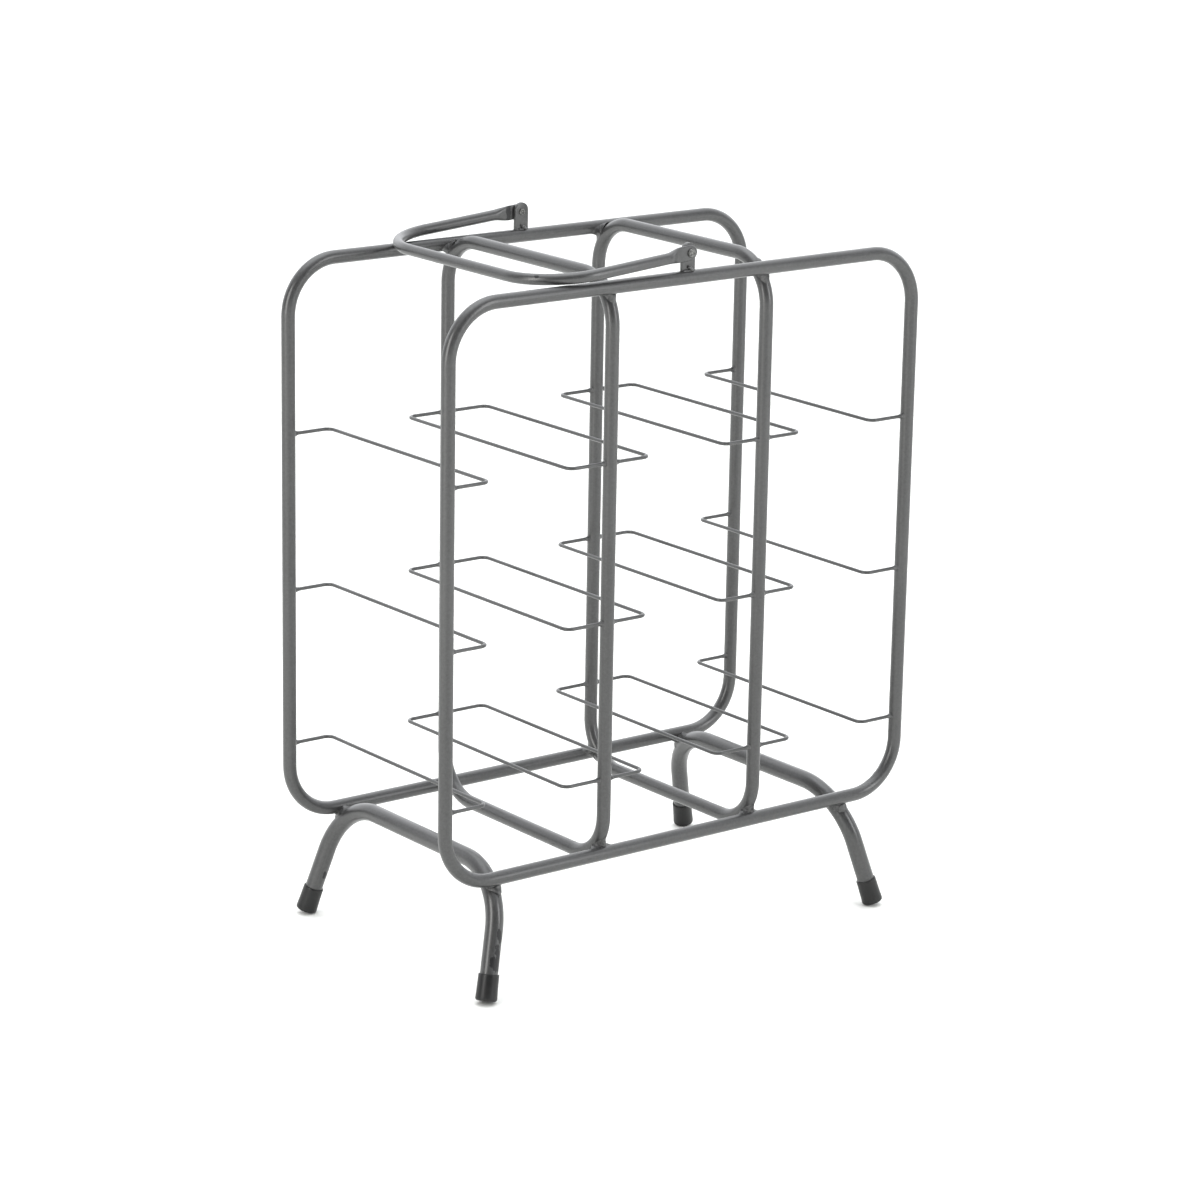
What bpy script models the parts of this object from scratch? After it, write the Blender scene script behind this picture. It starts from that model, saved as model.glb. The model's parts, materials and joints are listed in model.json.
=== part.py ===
"""Nine-bottle steel rack with a folding carry handle.

The rack stands on the floor at z = 0. X runs across the three bottle columns, Y runs along the
bottles, from the front frame at -Y to the rear frame at +Y. Lengths are in metres.
"""
import math

import bmesh
import bpy
from mathutils import Matrix, Vector

# ---- driving dimensions --------------------------------------------------------------------
GAP = 0.0003            # left between pieces that touch or are welded together

FRAME_TUBE = 0.0102     # outside diameter of the frame tube, 10 mm and its coat of paint
LEG_TUBE = 0.0132       # outside diameter of the leg tube
HANDLE_TUBE = 0.0082    # outside diameter of the handle tube
WIRE = 0.0027           # diameter of the bottle wires

FRAME_WIDTH = 0.424     # between the axes of a frame's two upright sides
FRAME_HEIGHT = 0.420    # between the axes of its top and bottom
FRAME_DEPTH = 0.200     # between the planes of the front and rear frames
FRAME_BEND = 0.040      # corner radius, at the tube's axis
FRAME_BASE = 0.086      # height of the bottom tubes' axes above the floor

CROSS_X = 0.0705        # the two cross frames stand this far left and right of the middle
CROSS_BEND = 0.035      # their corner radius

ROW_COUNT = 3
ROW_FIRST = 0.057       # lowest wires above the bottom tubes' axes
ROW_PITCH = 0.118       # between one row of wires and the next
WIRE_REACH = 0.036      # from a post's axis to the wire that runs along the bottle
WIRE_BEND = 0.006

LEG_X = 0.160           # the top of each leg is this far from the middle of the pair
LEG_SHIFT = -0.003      # the pair stands this much off the middle of the frames
LEG_HALF = 0.100        # from the middle to where a leg's top and its foot lines would meet
LEG_RISE = 0.0043       # the top of a leg above the bottom tubes' axes
LEG_BEND = 0.050
LEG_SPREAD_X = 0.27     # outward run for each unit of drop
LEG_SPREAD_Y = 0.19

CAP_RADIUS = 0.0076     # at the rim
CAP_FLARE = 0.0004      # the cap is this much wider at its foot
CAP_LENGTH = 0.0195     # along the leg
CAP_FLOOR = 0.0035      # rubber under the end of the leg
CAP_CHAMFER = 0.0013
CAP_RIM = 0.0003        # chamfer at the top

PIVOT_X = -0.004        # the handle's pivot stands this much off the middle of the frames
PIVOT_RISE = 0.0182     # and this much above the top tubes' axes
HANDLE_REACH = 0.130    # from the pivot to the axis of the grip
HANDLE_ARM_Y = 0.1055   # from the middle to the axis of each arm
HANDLE_BEND = 0.046
HANDLE_DROP = math.radians(4.6)   # the arms slope down this much when folded
LUG_THICKNESS = 0.0024  # the arms' ends are pressed flat to this
LUG_HEIGHT = 0.0112
LUG_FLAT = 0.009        # length that is fully flat, back from the pivot
LUG_TAPER = 0.014       # length over which round becomes flat

TAB_WIDTH = 0.012       # the two tabs that carry the handle
TAB_THICKNESS = 0.0025
TAB_TOP = 0.0070        # their tops above the pivot
RIVET_SHANK = 0.0032
RIVET_HEAD = 0.0064
RIVET_HEAD_HEIGHT = 0.0014
RIVET_TAIL = 0.0050
RIVET_TAIL_HEIGHT = 0.0009

TUBE_SIDES = 12
WIRE_SIDES = 8
CAP_SIDES = 20
BEND_STEPS = 6
WIRE_BEND_STEPS = 3

# ---- sizes that follow ---------------------------------------------------------------------
TOP_Z = FRAME_BASE + FRAME_HEIGHT
MID_Z = FRAME_BASE + FRAME_HEIGHT / 2
HALF_DEPTH = FRAME_DEPTH / 2
PIVOT_Z = TOP_Z + PIVOT_RISE
LUG_INNER_Y = HALF_DEPTH + TAB_THICKNESS / 2 + GAP
# A cross frame's corner bend lies inside the frame tube and touches it. With the posts in the
# frames' own planes, this is how far its top and bottom pass beyond the frame tubes' axes.
CROSS_RISE = CROSS_BEND - math.sqrt((CROSS_BEND + FRAME_TUBE + GAP) ** 2 - CROSS_BEND ** 2)

X_AXIS = Vector((1, 0, 0))
Y_AXIS = Vector((0, 1, 0))
Z_AXIS = Vector((0, 0, 1))


# ---- helpers -------------------------------------------------------------------------------
def clear_scene():
    for old in list(bpy.data.objects):
        bpy.data.objects.remove(old, do_unlink=True)


def make_material(name, colour, roughness, metallic):
    material = bpy.data.materials.new(name)
    material.use_nodes = True
    shader = material.node_tree.nodes["Principled BSDF"]
    shader.inputs["Base Color"].default_value = (*colour, 1.0)
    shader.inputs["Roughness"].default_value = roughness
    shader.inputs["Metallic"].default_value = metallic
    return material


def painted_steel(name):
    return make_material(name + "_paint", (0.16, 0.165, 0.165), 0.38, 0.7)


def add_object(name, mesh, location=(0, 0, 0), turn=0.0):
    """Puts a mesh in the scene, turned about Z."""
    part = bpy.data.objects.new(name, mesh)
    part.location = location
    part.rotation_euler = (0, 0, turn)
    bpy.context.scene.collection.objects.link(part)
    return part


def finish_mesh(bm, name, material):
    """Closes off a bmesh: outward normals, smooth shading with sharp rims, one material."""
    bmesh.ops.recalc_face_normals(bm, faces=bm.faces)
    mesh = bpy.data.meshes.new(name)
    bm.to_mesh(mesh)
    bm.free()
    mesh.materials.append(material)
    mesh.shade_smooth()
    mesh.set_sharp_from_angle(angle=math.radians(40))
    return mesh


def rounded_path(corners, radius, closed, steps):
    """Returns the points of a line through the corners, with an arc in place of each bend."""
    count = len(corners)
    points = []
    for index, corner in enumerate(corners):
        if not closed and index in (0, count - 1):
            points.append(corner.copy())
            continue
        to_last = (corners[index - 1] - corner).normalized()
        to_next = (corners[(index + 1) % count] - corner).normalized()
        half = to_last.angle(to_next) / 2
        centre = corner + (to_last + to_next).normalized() * radius / math.sin(half)
        start = (corner + to_last * radius / math.tan(half) - centre).normalized()
        end = (corner + to_next * radius / math.tan(half) - centre).normalized()
        points += [centre + start.slerp(end, step / steps) * radius for step in range(steps + 1)]
    return points


def round_section(radius, sides, phase=0.0):
    """Returns the section of a round bar as (across, up) pairs."""
    angles = [2 * math.pi * (side + phase) / sides for side in range(sides)]
    return [(radius * math.cos(angle), radius * math.sin(angle)) for angle in angles]


def sweep(name, path, normal, sections, closed, material):
    """Sweeps sections along a flat path whose plane has the given normal."""
    bm = bmesh.new()
    rings = []
    count = len(path)
    for index, point in enumerate(path):
        before = path[index - 1] if closed or index > 0 else point
        after = path[(index + 1) % count] if closed or index < count - 1 else point
        across = (after - before).normalized().cross(normal)
        rings.append([bm.verts.new(point + across * u + normal * v) for u, v in sections[index]])
    for index in range(count if closed else count - 1):
        ring, following = rings[index], rings[(index + 1) % count]
        for side in range(len(ring)):
            turn = (side + 1) % len(ring)
            bm.faces.new((ring[side], ring[turn], following[turn], following[side]))
    if not closed:
        bm.faces.new(rings[0])
        bm.faces.new(rings[-1])
    return finish_mesh(bm, name, material)


def bar(name, path, normal, diameter, closed, material, sides=TUBE_SIDES):
    """Sweeps a round bar along a flat path."""
    sections = [round_section(diameter / 2, sides)] * len(path)
    return sweep(name, path, normal, sections, closed, material)


# ---- frames --------------------------------------------------------------------------------
def rectangle(half_across, half_up, across):
    """Returns the corners of an upright rectangle about the origin, in turn."""
    signs = ((-1, -1), (1, -1), (1, 1), (-1, 1))
    return [across * half_across * u + Z_AXIS * half_up * v for u, v in signs]


def build_frames():
    corners = rectangle(FRAME_WIDTH / 2, FRAME_HEIGHT / 2, X_AXIS)
    path = rounded_path(corners, FRAME_BEND, True, BEND_STEPS)
    for name, y in (("front_frame", -HALF_DEPTH), ("rear_frame", HALF_DEPTH)):
        mesh = bar(name, path, Y_AXIS, FRAME_TUBE, True, painted_steel(name))
        add_object(name, mesh, (0, y, MID_Z))


def build_cross_frames():
    corners = rectangle(HALF_DEPTH, FRAME_HEIGHT / 2 + CROSS_RISE, Y_AXIS)
    path = rounded_path(corners, CROSS_BEND, True, BEND_STEPS)
    for name, x in (("left_cross_frame", -CROSS_X), ("right_cross_frame", CROSS_X)):
        mesh = bar(name, path, X_AXIS, FRAME_TUBE, True, painted_steel(name))
        add_object(name, mesh, (x, 0, MID_Z))


def build_bottle_wires():
    """Every post carries one wire on each side that faces a column of bottles."""
    start = FRAME_TUBE / 2 + GAP
    corners = [
        Vector((start, -HALF_DEPTH, 0)),
        Vector((WIRE_REACH, -HALF_DEPTH, 0)),
        Vector((WIRE_REACH, HALF_DEPTH, 0)),
        Vector((start, HALF_DEPTH, 0)),
    ]
    path = rounded_path(corners, WIRE_BEND, False, WIRE_BEND_STEPS)
    columns = (
        ("left_column_left", -FRAME_WIDTH / 2, 0.0),
        ("left_column_right", -CROSS_X, math.pi),
        ("middle_column_left", -CROSS_X, 0.0),
        ("middle_column_right", CROSS_X, math.pi),
        ("right_column_left", CROSS_X, 0.0),
        ("right_column_right", FRAME_WIDTH / 2, math.pi),
    )
    for column, x, turn in columns:
        for row in range(ROW_COUNT):
            name = f"wire_{column}_row{row + 1}"
            mesh = bar(name, path, Z_AXIS, WIRE, False, painted_steel(name), WIRE_SIDES)
            height = FRAME_BASE + ROW_FIRST + ROW_PITCH * row
            add_object(name, mesh, (x, 0, height), turn)


# ---- legs and feet -------------------------------------------------------------------------
def leg_corner(side, end):
    """Returns the point where a leg's top line meets the line of one of its feet."""
    return Vector((LEG_SHIFT + side * LEG_X, end * LEG_HALF, FRAME_BASE + LEG_RISE))


def leg_slope(side, end):
    """Returns the unit vector down a foot."""
    return Vector((side * LEG_SPREAD_X, end * LEG_SPREAD_Y, -1)).normalized()


def foot_point(side, end):
    """Returns the middle of a cap's underside, which is square to the leg and rests on its rim."""
    corner = leg_corner(side, end)
    slope = leg_slope(side, end)
    rim = CAP_RADIUS + CAP_FLARE - CAP_CHAMFER
    height = rim * math.hypot(slope.x, slope.y)
    return corner - slope * (corner.z - height) / slope.z


def build_leg(name, side):
    ends = (-1, 1)
    tips = [foot_point(side, end) - leg_slope(side, end) * CAP_FLOOR for end in ends]
    corners = [tips[0], leg_corner(side, -1), leg_corner(side, 1), tips[1]]
    path = rounded_path(corners, LEG_BEND, False, BEND_STEPS)
    down = Vector((side * LEG_SPREAD_X, 0, -1)).normalized()
    normal = Y_AXIS.cross(down)
    add_object(name, bar(name, path, normal, LEG_TUBE, False, painted_steel(name)))


def build_foot_cap(name, side, end):
    """A rubber cup on the end of a leg."""
    foot = foot_point(side, end)
    up = -leg_slope(side, end)
    lowest = (up * up.z - Z_AXIS).normalized()
    second = up.cross(lowest)
    bore = LEG_TUBE / 2 + GAP
    bm = bmesh.new()

    def ring(radius, height):
        """A ring square to the leg's axis, with a corner at its lowest point."""
        verts = []
        for step in range(CAP_SIDES):
            angle = 2 * math.pi * step / CAP_SIDES
            point = foot + (lowest * math.cos(angle) + second * math.sin(angle)) * radius
            verts.append(bm.verts.new(point + up * height))
        return verts

    rings = [
        ring(CAP_RADIUS + CAP_FLARE - CAP_CHAMFER, 0.0),
        ring(CAP_RADIUS + CAP_FLARE, CAP_CHAMFER),
        ring(CAP_RADIUS, CAP_LENGTH - CAP_RIM),
        ring(CAP_RADIUS - CAP_RIM, CAP_LENGTH),
        ring(bore, CAP_LENGTH),
        ring(bore, CAP_FLOOR - GAP),
    ]
    for lower, upper in zip(rings, rings[1:]):
        for step in range(CAP_SIDES):
            turn = (step + 1) % CAP_SIDES
            bm.faces.new((lower[step], lower[turn], upper[turn], upper[step]))
    bm.faces.new(rings[0])
    bm.faces.new(rings[-1])
    rubber = make_material(name + "_rubber", (0.02, 0.02, 0.021), 0.6, 0.0)
    add_object(name, finish_mesh(bm, name, rubber))


def build_legs():
    for side_name, side in (("left", -1), ("right", 1)):
        build_leg(f"{side_name}_leg", side)
        for end_name, end in (("front", -1), ("rear", 1)):
            build_foot_cap(f"foot_cap_{side_name}_{end_name}", side, end)


# ---- handle --------------------------------------------------------------------------------
def stadium_section(half_thickness, half_height, offset):
    """Returns a flattened round: two half circles moved apart along the up direction."""
    stretch = half_height - half_thickness
    return [
        (u + offset, v + math.copysign(stretch, v))
        for u, v in round_section(half_thickness, TUBE_SIDES, 0.5)
    ]


def lug_section(distance):
    """Returns the handle's section at a distance from the pivot, negative past the pivot."""
    blend = min(max((distance - LUG_FLAT) / LUG_TAPER, 0.0), 1.0)
    blend = blend * blend * (3 - 2 * blend)
    half_thickness = LUG_THICKNESS / 2 + (HANDLE_TUBE - LUG_THICKNESS) / 2 * blend
    half_height = LUG_HEIGHT / 2 + (HANDLE_TUBE - LUG_HEIGHT) / 2 * blend
    if distance < 0:
        half_height = math.sqrt(half_height ** 2 - distance ** 2)
    lug_y = LUG_INNER_Y + LUG_THICKNESS / 2
    offset = (HANDLE_ARM_Y - lug_y) * (1 - blend)
    return stadium_section(half_thickness, half_height, offset)


def pivot_cutter():
    """A bar along the handle's axis that cuts the rivet holes."""
    bm = bmesh.new()
    turn = Matrix.Rotation(math.pi / 2, 4, "X")
    radius = RIVET_SHANK / 2 + GAP
    bmesh.ops.create_cone(bm, cap_ends=True, segments=TUBE_SIDES, radius1=radius,
                          radius2=radius, depth=FRAME_DEPTH * 1.3, matrix=turn)
    mesh = bpy.data.meshes.new("pivot_cutter")
    bm.to_mesh(mesh)
    bm.free()
    cutter = add_object("pivot_cutter", mesh, (PIVOT_X, 0, PIVOT_Z))
    cutter.hide_render = True
    cutter.display_type = "WIRE"
    return cutter


def cut(part, cutter):
    hole = part.modifiers.new("pivot_hole", "BOOLEAN")
    hole.operation = "DIFFERENCE"
    hole.solver = "EXACT"
    hole.object = cutter


def build_handle(cutter):
    """A bent tube with flattened ends, about its pivot axis, folded over to the left."""
    out = Vector((-math.cos(HANDLE_DROP), 0, -math.sin(HANDLE_DROP)))
    normal = Y_AXIS.cross(out)
    tips = [-Y_AXIS * HANDLE_ARM_Y, Y_AXIS * HANDLE_ARM_Y]
    corners = [tips[0], tips[0] + out * HANDLE_REACH, tips[1] + out * HANDLE_REACH, tips[1]]
    bend = rounded_path(corners, HANDLE_BEND, False, BEND_STEPS)[1:-1]

    tip_angles = [math.radians(angle) for angle in (76, 62, 45, 24)]
    distances = [-LUG_HEIGHT / 2 * math.sin(angle) for angle in tip_angles]
    distances += [0.0, LUG_FLAT]
    distances += [LUG_FLAT + LUG_TAPER * step / 5 for step in range(1, 6)]
    arm = [tips[0] + out * distance for distance in distances]
    far_arm = [tips[1] + out * distance for distance in reversed(distances)]
    near_sections = [lug_section(distance) for distance in distances]
    far_sections = [lug_section(distance) for distance in reversed(distances)]
    middle = [round_section(HANDLE_TUBE / 2, TUBE_SIDES, 0.5)] * len(bend)
    mesh = sweep("handle", arm + bend + far_arm, normal,
                 near_sections + middle + far_sections, False, painted_steel("handle"))
    handle = add_object("handle", mesh, (PIVOT_X, 0, PIVOT_Z))
    cut(handle, cutter)


def build_tab(name, y, cutter):
    """An upright plate on a top tube, with a round top about the pivot."""
    base = FRAME_TUBE / 2 + GAP - PIVOT_RISE
    shoulder = TAB_TOP - TAB_WIDTH / 2
    outline = [(-TAB_WIDTH / 2, base), (TAB_WIDTH / 2, base)]
    for step in range(TUBE_SIDES + 1):
        angle = math.pi * step / TUBE_SIDES
        across = math.cos(angle) * TAB_WIDTH / 2
        outline.append((across, shoulder + math.sin(angle) * TAB_WIDTH / 2))
    bm = bmesh.new()
    plate = bm.faces.new([bm.verts.new((x, -TAB_THICKNESS / 2, z)) for x, z in outline])
    grown = bmesh.ops.extrude_face_region(bm, geom=[plate])
    moved = [item for item in grown["geom"] if isinstance(item, bmesh.types.BMVert)]
    bmesh.ops.translate(bm, verts=moved, vec=(0, TAB_THICKNESS, 0))
    mesh = finish_mesh(bm, name, painted_steel(name))
    cut(add_object(name, mesh, (PIVOT_X, y, PIVOT_Z)), cutter)


def build_rivet(name, y, turn):
    """A rivet about the Y axis: a domed head outside the lug and a turned-over tail."""
    head_y = -(TAB_THICKNESS / 2 + GAP + LUG_THICKNESS + GAP)
    tail_y = TAB_THICKNESS / 2 + GAP
    profile = [
        (RIVET_HEAD * 0.28, head_y - RIVET_HEAD_HEIGHT),
        (RIVET_HEAD * 0.43, head_y - RIVET_HEAD_HEIGHT * 0.65),
        (RIVET_HEAD / 2, head_y - RIVET_HEAD_HEIGHT * 0.2),
        (RIVET_HEAD / 2, head_y),
        (RIVET_SHANK / 2, head_y),
        (RIVET_SHANK / 2, tail_y),
        (RIVET_TAIL / 2, tail_y),
        (RIVET_TAIL / 2, tail_y + RIVET_TAIL_HEIGHT * 0.5),
        (RIVET_TAIL * 0.4, tail_y + RIVET_TAIL_HEIGHT),
    ]
    bm = bmesh.new()
    rings = []
    for radius, along in profile:
        angles = [2 * math.pi * step / TUBE_SIDES for step in range(TUBE_SIDES)]
        rings.append([bm.verts.new((radius * math.cos(angle), along, radius * math.sin(angle)))
                      for angle in angles])
    for ring, following in zip(rings, rings[1:]):
        for step in range(TUBE_SIDES):
            after = (step + 1) % TUBE_SIDES
            bm.faces.new((ring[step], ring[after], following[after], following[step]))
    bm.faces.new(rings[0])
    bm.faces.new(rings[-1])
    steel = make_material(name + "_steel", (0.3, 0.3, 0.3), 0.35, 1.0)
    add_object(name, finish_mesh(bm, name, steel), (PIVOT_X, y, PIVOT_Z), turn)


def build_carry_handle():
    cutter = pivot_cutter()
    build_handle(cutter)
    build_tab("handle_tab_front", -HALF_DEPTH, cutter)
    build_tab("handle_tab_rear", HALF_DEPTH, cutter)
    build_rivet("rivet_front", -HALF_DEPTH, 0.0)
    build_rivet("rivet_rear", HALF_DEPTH, math.pi)


clear_scene()
build_frames()
build_cross_frames()
build_bottle_wires()
build_legs()
build_carry_handle()
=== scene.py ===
"""The looks of a grey steel rack for nine bottles, with a folding carry handle."""

import json
import math

import bmesh
import bpy
from mathutils import Matrix, Vector, noise


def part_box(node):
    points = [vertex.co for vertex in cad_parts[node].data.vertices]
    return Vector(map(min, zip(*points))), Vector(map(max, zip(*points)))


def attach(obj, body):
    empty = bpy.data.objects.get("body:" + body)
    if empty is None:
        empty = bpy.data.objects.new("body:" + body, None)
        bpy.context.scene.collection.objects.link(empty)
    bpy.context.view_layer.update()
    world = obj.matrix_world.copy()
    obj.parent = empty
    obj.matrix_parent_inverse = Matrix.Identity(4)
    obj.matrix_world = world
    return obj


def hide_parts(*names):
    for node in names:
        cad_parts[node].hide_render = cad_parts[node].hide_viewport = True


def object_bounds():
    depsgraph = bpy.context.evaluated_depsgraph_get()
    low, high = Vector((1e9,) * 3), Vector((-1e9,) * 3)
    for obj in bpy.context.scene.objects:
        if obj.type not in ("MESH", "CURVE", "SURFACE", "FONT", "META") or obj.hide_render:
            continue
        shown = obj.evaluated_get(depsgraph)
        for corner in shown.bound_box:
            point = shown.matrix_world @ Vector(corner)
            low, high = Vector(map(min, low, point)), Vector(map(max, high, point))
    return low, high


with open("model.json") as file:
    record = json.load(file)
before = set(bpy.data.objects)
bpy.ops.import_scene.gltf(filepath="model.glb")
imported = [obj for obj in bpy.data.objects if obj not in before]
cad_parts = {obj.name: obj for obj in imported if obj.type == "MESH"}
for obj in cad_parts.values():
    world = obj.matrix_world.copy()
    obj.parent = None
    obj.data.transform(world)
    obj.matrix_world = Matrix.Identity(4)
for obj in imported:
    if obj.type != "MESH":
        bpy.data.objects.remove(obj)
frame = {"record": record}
cad_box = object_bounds()

# ---- sizes that the CAD boxes don't give, in metres -----------------------------------------
FRAME_BEND = 0.040       # corner radii, at the tubes' axes
CROSS_BEND = 0.035
LEG_BEND = 0.050
WIRE_BEND = 0.006
HANDLE_BEND = 0.046

FRAME_TUBE = 0.0102      # diameters
LEG_TUBE = 0.0132
HANDLE_TUBE = 0.0082
WIRE = 0.0027

LEG_HALF = 0.100         # from the middle to where a leg's top and its foot lines would meet
LEG_SPREAD_X = 0.27      # sideways run of a foot for each unit of drop
LEG_SPREAD_Y = 0.19      # and its run to the front or rear
CAP_RADIUS = 0.0076
CAP_FLARE = 0.0004       # the cap is this much wider at its foot
CAP_LENGTH = 0.0195
CAP_FLOOR = 0.0035       # rubber under the end of the leg
CAP_EDGE = 0.0018        # roundness of the lower edge
CAP_REST = 0.0067        # radius of the rim that a cap rests on

HANDLE_REACH = 0.130     # from the pivot to the axis of the grip
HANDLE_ARM_Y = 0.1055    # from the middle to the axis of either arm
HANDLE_DROP = math.radians(4.6)
LUG_THICKNESS = 0.0024   # of the flat ends of the handle
LUG_HEIGHT = 0.0112
LUG_FLAT = 0.009
LUG_TAPER = 0.014
LUG_GAP = 0.0003         # between a tab and the flat end of the handle
PIN = 0.0032             # diameter of a rivet's shank
PIN_GAP = 0.0001         # clearance of the rivet holes, all round

CROSS_WELD = 0.0052      # how far weld metal runs along the tubes at the cross frames
LEG_WELD = 0.0034        # and at the legs
WIRE_WELD = 0.0036       # and along a wire
TAB_WELD = 0.0058        # half the length of the bead at the foot of a tab

FLOOR_HALF = 14.0        # half the width of the floor

TUBE_SIDES = 40          # faces round a tube and round a wire, and along each bend
WIRE_SIDES = 16
BEND_STEPS = 22

X_AXIS = Vector((1, 0, 0))
Y_AXIS = Vector((0, 1, 0))
Z_AXIS = Vector((0, 0, 1))

# ---- where the main lines of the rack run ---------------------------------------------------
FRAME_LOW, FRAME_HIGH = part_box("front_frame")
REAR_LOW, REAR_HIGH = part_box("rear_frame")
HALF_DEPTH = (REAR_LOW.y + REAR_HIGH.y) / 2
HALF_WIDTH = FRAME_HIGH.x - FRAME_TUBE / 2
BASE_Z = FRAME_LOW.z + FRAME_TUBE / 2
TOP_Z = FRAME_HIGH.z - FRAME_TUBE / 2
MID_Z = (BASE_Z + TOP_Z) / 2
PIVOT = Vector(frame["record"]["behaviour"]["joints"][0]["pos_m"])
TAB_LOW, TAB_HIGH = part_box("handle_tab_rear")
TAB_HALF = (TAB_HIGH.y - TAB_LOW.y) / 2
LUG_Y = TAB_HIGH.y + LUG_GAP + LUG_THICKNESS / 2


# ---- paths and meshes -----------------------------------------------------------------------
def rounded_path(corners, radius, closed, steps=BEND_STEPS):
    """Returns the points of a line through the corners, with an arc in place of each bend."""
    count = len(corners)
    points = []
    for index, corner in enumerate(corners):
        if not closed and index in (0, count - 1):
            points.append(corner.copy())
            continue
        to_last = (corners[index - 1] - corner).normalized()
        to_next = (corners[(index + 1) % count] - corner).normalized()
        half = to_last.angle(to_next) / 2
        centre = corner + (to_last + to_next).normalized() * radius / math.sin(half)
        start = (corner + to_last * radius / math.tan(half) - centre).normalized()
        end = (corner + to_next * radius / math.tan(half) - centre).normalized()
        points += [centre + start.slerp(end, step / steps) * radius for step in range(steps + 1)]
    return points


def subdivided(path, closed, spacing):
    """Adds points along the straight runs of a path, so that none is longer than the spacing."""
    points = []
    count = len(path)
    for index in range(count if closed else count - 1):
        start, end = path[index], path[(index + 1) % count]
        pieces = max(1, math.ceil((end - start).length / spacing))
        points += [start.lerp(end, piece / pieces) for piece in range(pieces)]
    if not closed:
        points.append(path[-1].copy())
    return points


def circle(radius, sides, phase=0.0):
    """Returns a round section as (across, up) pairs."""
    angles = [2 * math.pi * (side + phase) / sides for side in range(sides)]
    return [(radius * math.cos(angle), radius * math.sin(angle)) for angle in angles]


def skin(bm, rings, closed=False):
    """Joins rings of points, all of one length, into a surface with closed ends.

    Each point also keeps its place round the ring and along the run, for the streaks in the paint.
    """
    grain = bm.verts.layers.float_vector.get("grain") or bm.verts.layers.float_vector.new("grain")
    loops = []
    along = 0.0
    for index, ring in enumerate(rings):
        along += (ring[0] - rings[index - 1][0]).length if index else 0.0
        loop = [bm.verts.new(point) for point in ring]
        for side, vert in enumerate(loop):
            angle = 2 * math.pi * side / len(loop)
            vert[grain] = (math.cos(angle), math.sin(angle), along)
        loops.append(loop)
    count = len(loops)
    for index in range(count if closed else count - 1):
        ring, following = loops[index], loops[(index + 1) % count]
        for side in range(len(ring)):
            turn = (side + 1) % len(ring)
            bm.faces.new((ring[side], ring[turn], following[turn], following[side]))
    if not closed:
        bm.faces.new(loops[0])
        bm.faces.new(loops[-1])


def swept_rings(path, normal, sections, closed):
    """Places a section square to a flat path at each of its points."""
    rings = []
    count = len(path)
    for index, point in enumerate(path):
        before = path[index - 1] if closed or index > 0 else point
        after = path[(index + 1) % count] if closed or index < count - 1 else point
        across = (after - before).normalized().cross(normal)
        rings.append([point + across * u + normal * v for u, v in sections[index]])
    return rings


def turned_rings(profile, origin, axis, sides=TUBE_SIDES):
    """Turns a profile of (radius, along) pairs about an axis."""
    first = axis.orthogonal().normalized()
    second = axis.cross(first)
    rings = []
    for radius, along in profile:
        centre = origin + axis * along
        rings.append([centre + first * u + second * v for u, v in circle(radius, sides)])
    return rings


def mesh_from(name, bm):
    mesh = bpy.data.meshes.new(name)
    bm.to_mesh(mesh)
    bm.free()
    return mesh


def smooth(mesh, sharp=40.0):
    """Shades a mesh smooth, except at edges that turn by more than an angle in degrees."""
    mesh.shade_smooth()
    mesh.set_sharp_from_angle(angle=math.radians(sharp))


def make_piece(name, bm, material, body, nodes=(), sharp=40.0):
    """Turns a bmesh into a smooth piece that rides on a body and stands for CAD nodes."""
    bmesh.ops.recalc_face_normals(bm, faces=bm.faces)
    mesh = mesh_from(name, bm)
    mesh.materials.append(material)
    smooth(mesh, sharp)
    piece = bpy.data.objects.new(name, mesh)
    bpy.context.scene.collection.objects.link(piece)
    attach(piece, body)
    if nodes:
        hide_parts(*nodes)
    return piece


# ---- materials ------------------------------------------------------------------------------
def node(tree, kind, **values):
    """Adds a node, with its plain properties and its input values set by name."""
    made = tree.nodes.new(kind)
    for key, value in values.items():
        if hasattr(made, key):
            setattr(made, key, value)
        else:
            made.inputs[key.replace("_", " ")].default_value = value
    return made


def noise_at(tree, coords, scale, detail=2.0, roughness=0.5, stretch=None):
    """Returns the value of a noise texture, over the object's own space."""
    if stretch:
        mapping = node(tree, "ShaderNodeMapping", Scale=stretch)
        tree.links.new(coords, mapping.inputs["Vector"])
        coords = mapping.outputs["Vector"]
    made = node(tree, "ShaderNodeTexNoise", Scale=scale, Detail=detail, Roughness=roughness)
    tree.links.new(coords, made.inputs["Vector"])
    return made.outputs["Fac"]


def remap(tree, value, low, high, to_low, to_high):
    """Maps a value from one range to another, and keeps it inside that."""
    made = tree.nodes.new("ShaderNodeMapRange")
    made.inputs["From Min"].default_value = low
    made.inputs["From Max"].default_value = high
    made.inputs["To Min"].default_value = to_low
    made.inputs["To Max"].default_value = to_high
    tree.links.new(value, made.inputs["Value"])
    return made.outputs["Result"]


def combine(tree, operation, first, second):
    """Returns the result of a maths node on two sockets or numbers."""
    made = tree.nodes.new("ShaderNodeMath")
    made.operation = operation
    for socket, value in zip(made.inputs, (first, second)):
        if isinstance(value, (int, float)):
            socket.default_value = value
        else:
            tree.links.new(value, socket)
    return made.outputs["Value"]


def mix_colours(tree, factor, first, second):
    """Mixes two colours, each a socket or an (r, g, b) tuple."""
    made = tree.nodes.new("ShaderNodeMix")
    made.data_type = "RGBA"
    tree.links.new(factor, made.inputs["Factor"])
    for socket, value in ((made.inputs[6], first), (made.inputs[7], second)):
        if isinstance(value, tuple):
            socket.default_value = (*value, 1.0)
        else:
            tree.links.new(value, socket)
    return made.outputs[2]


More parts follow.
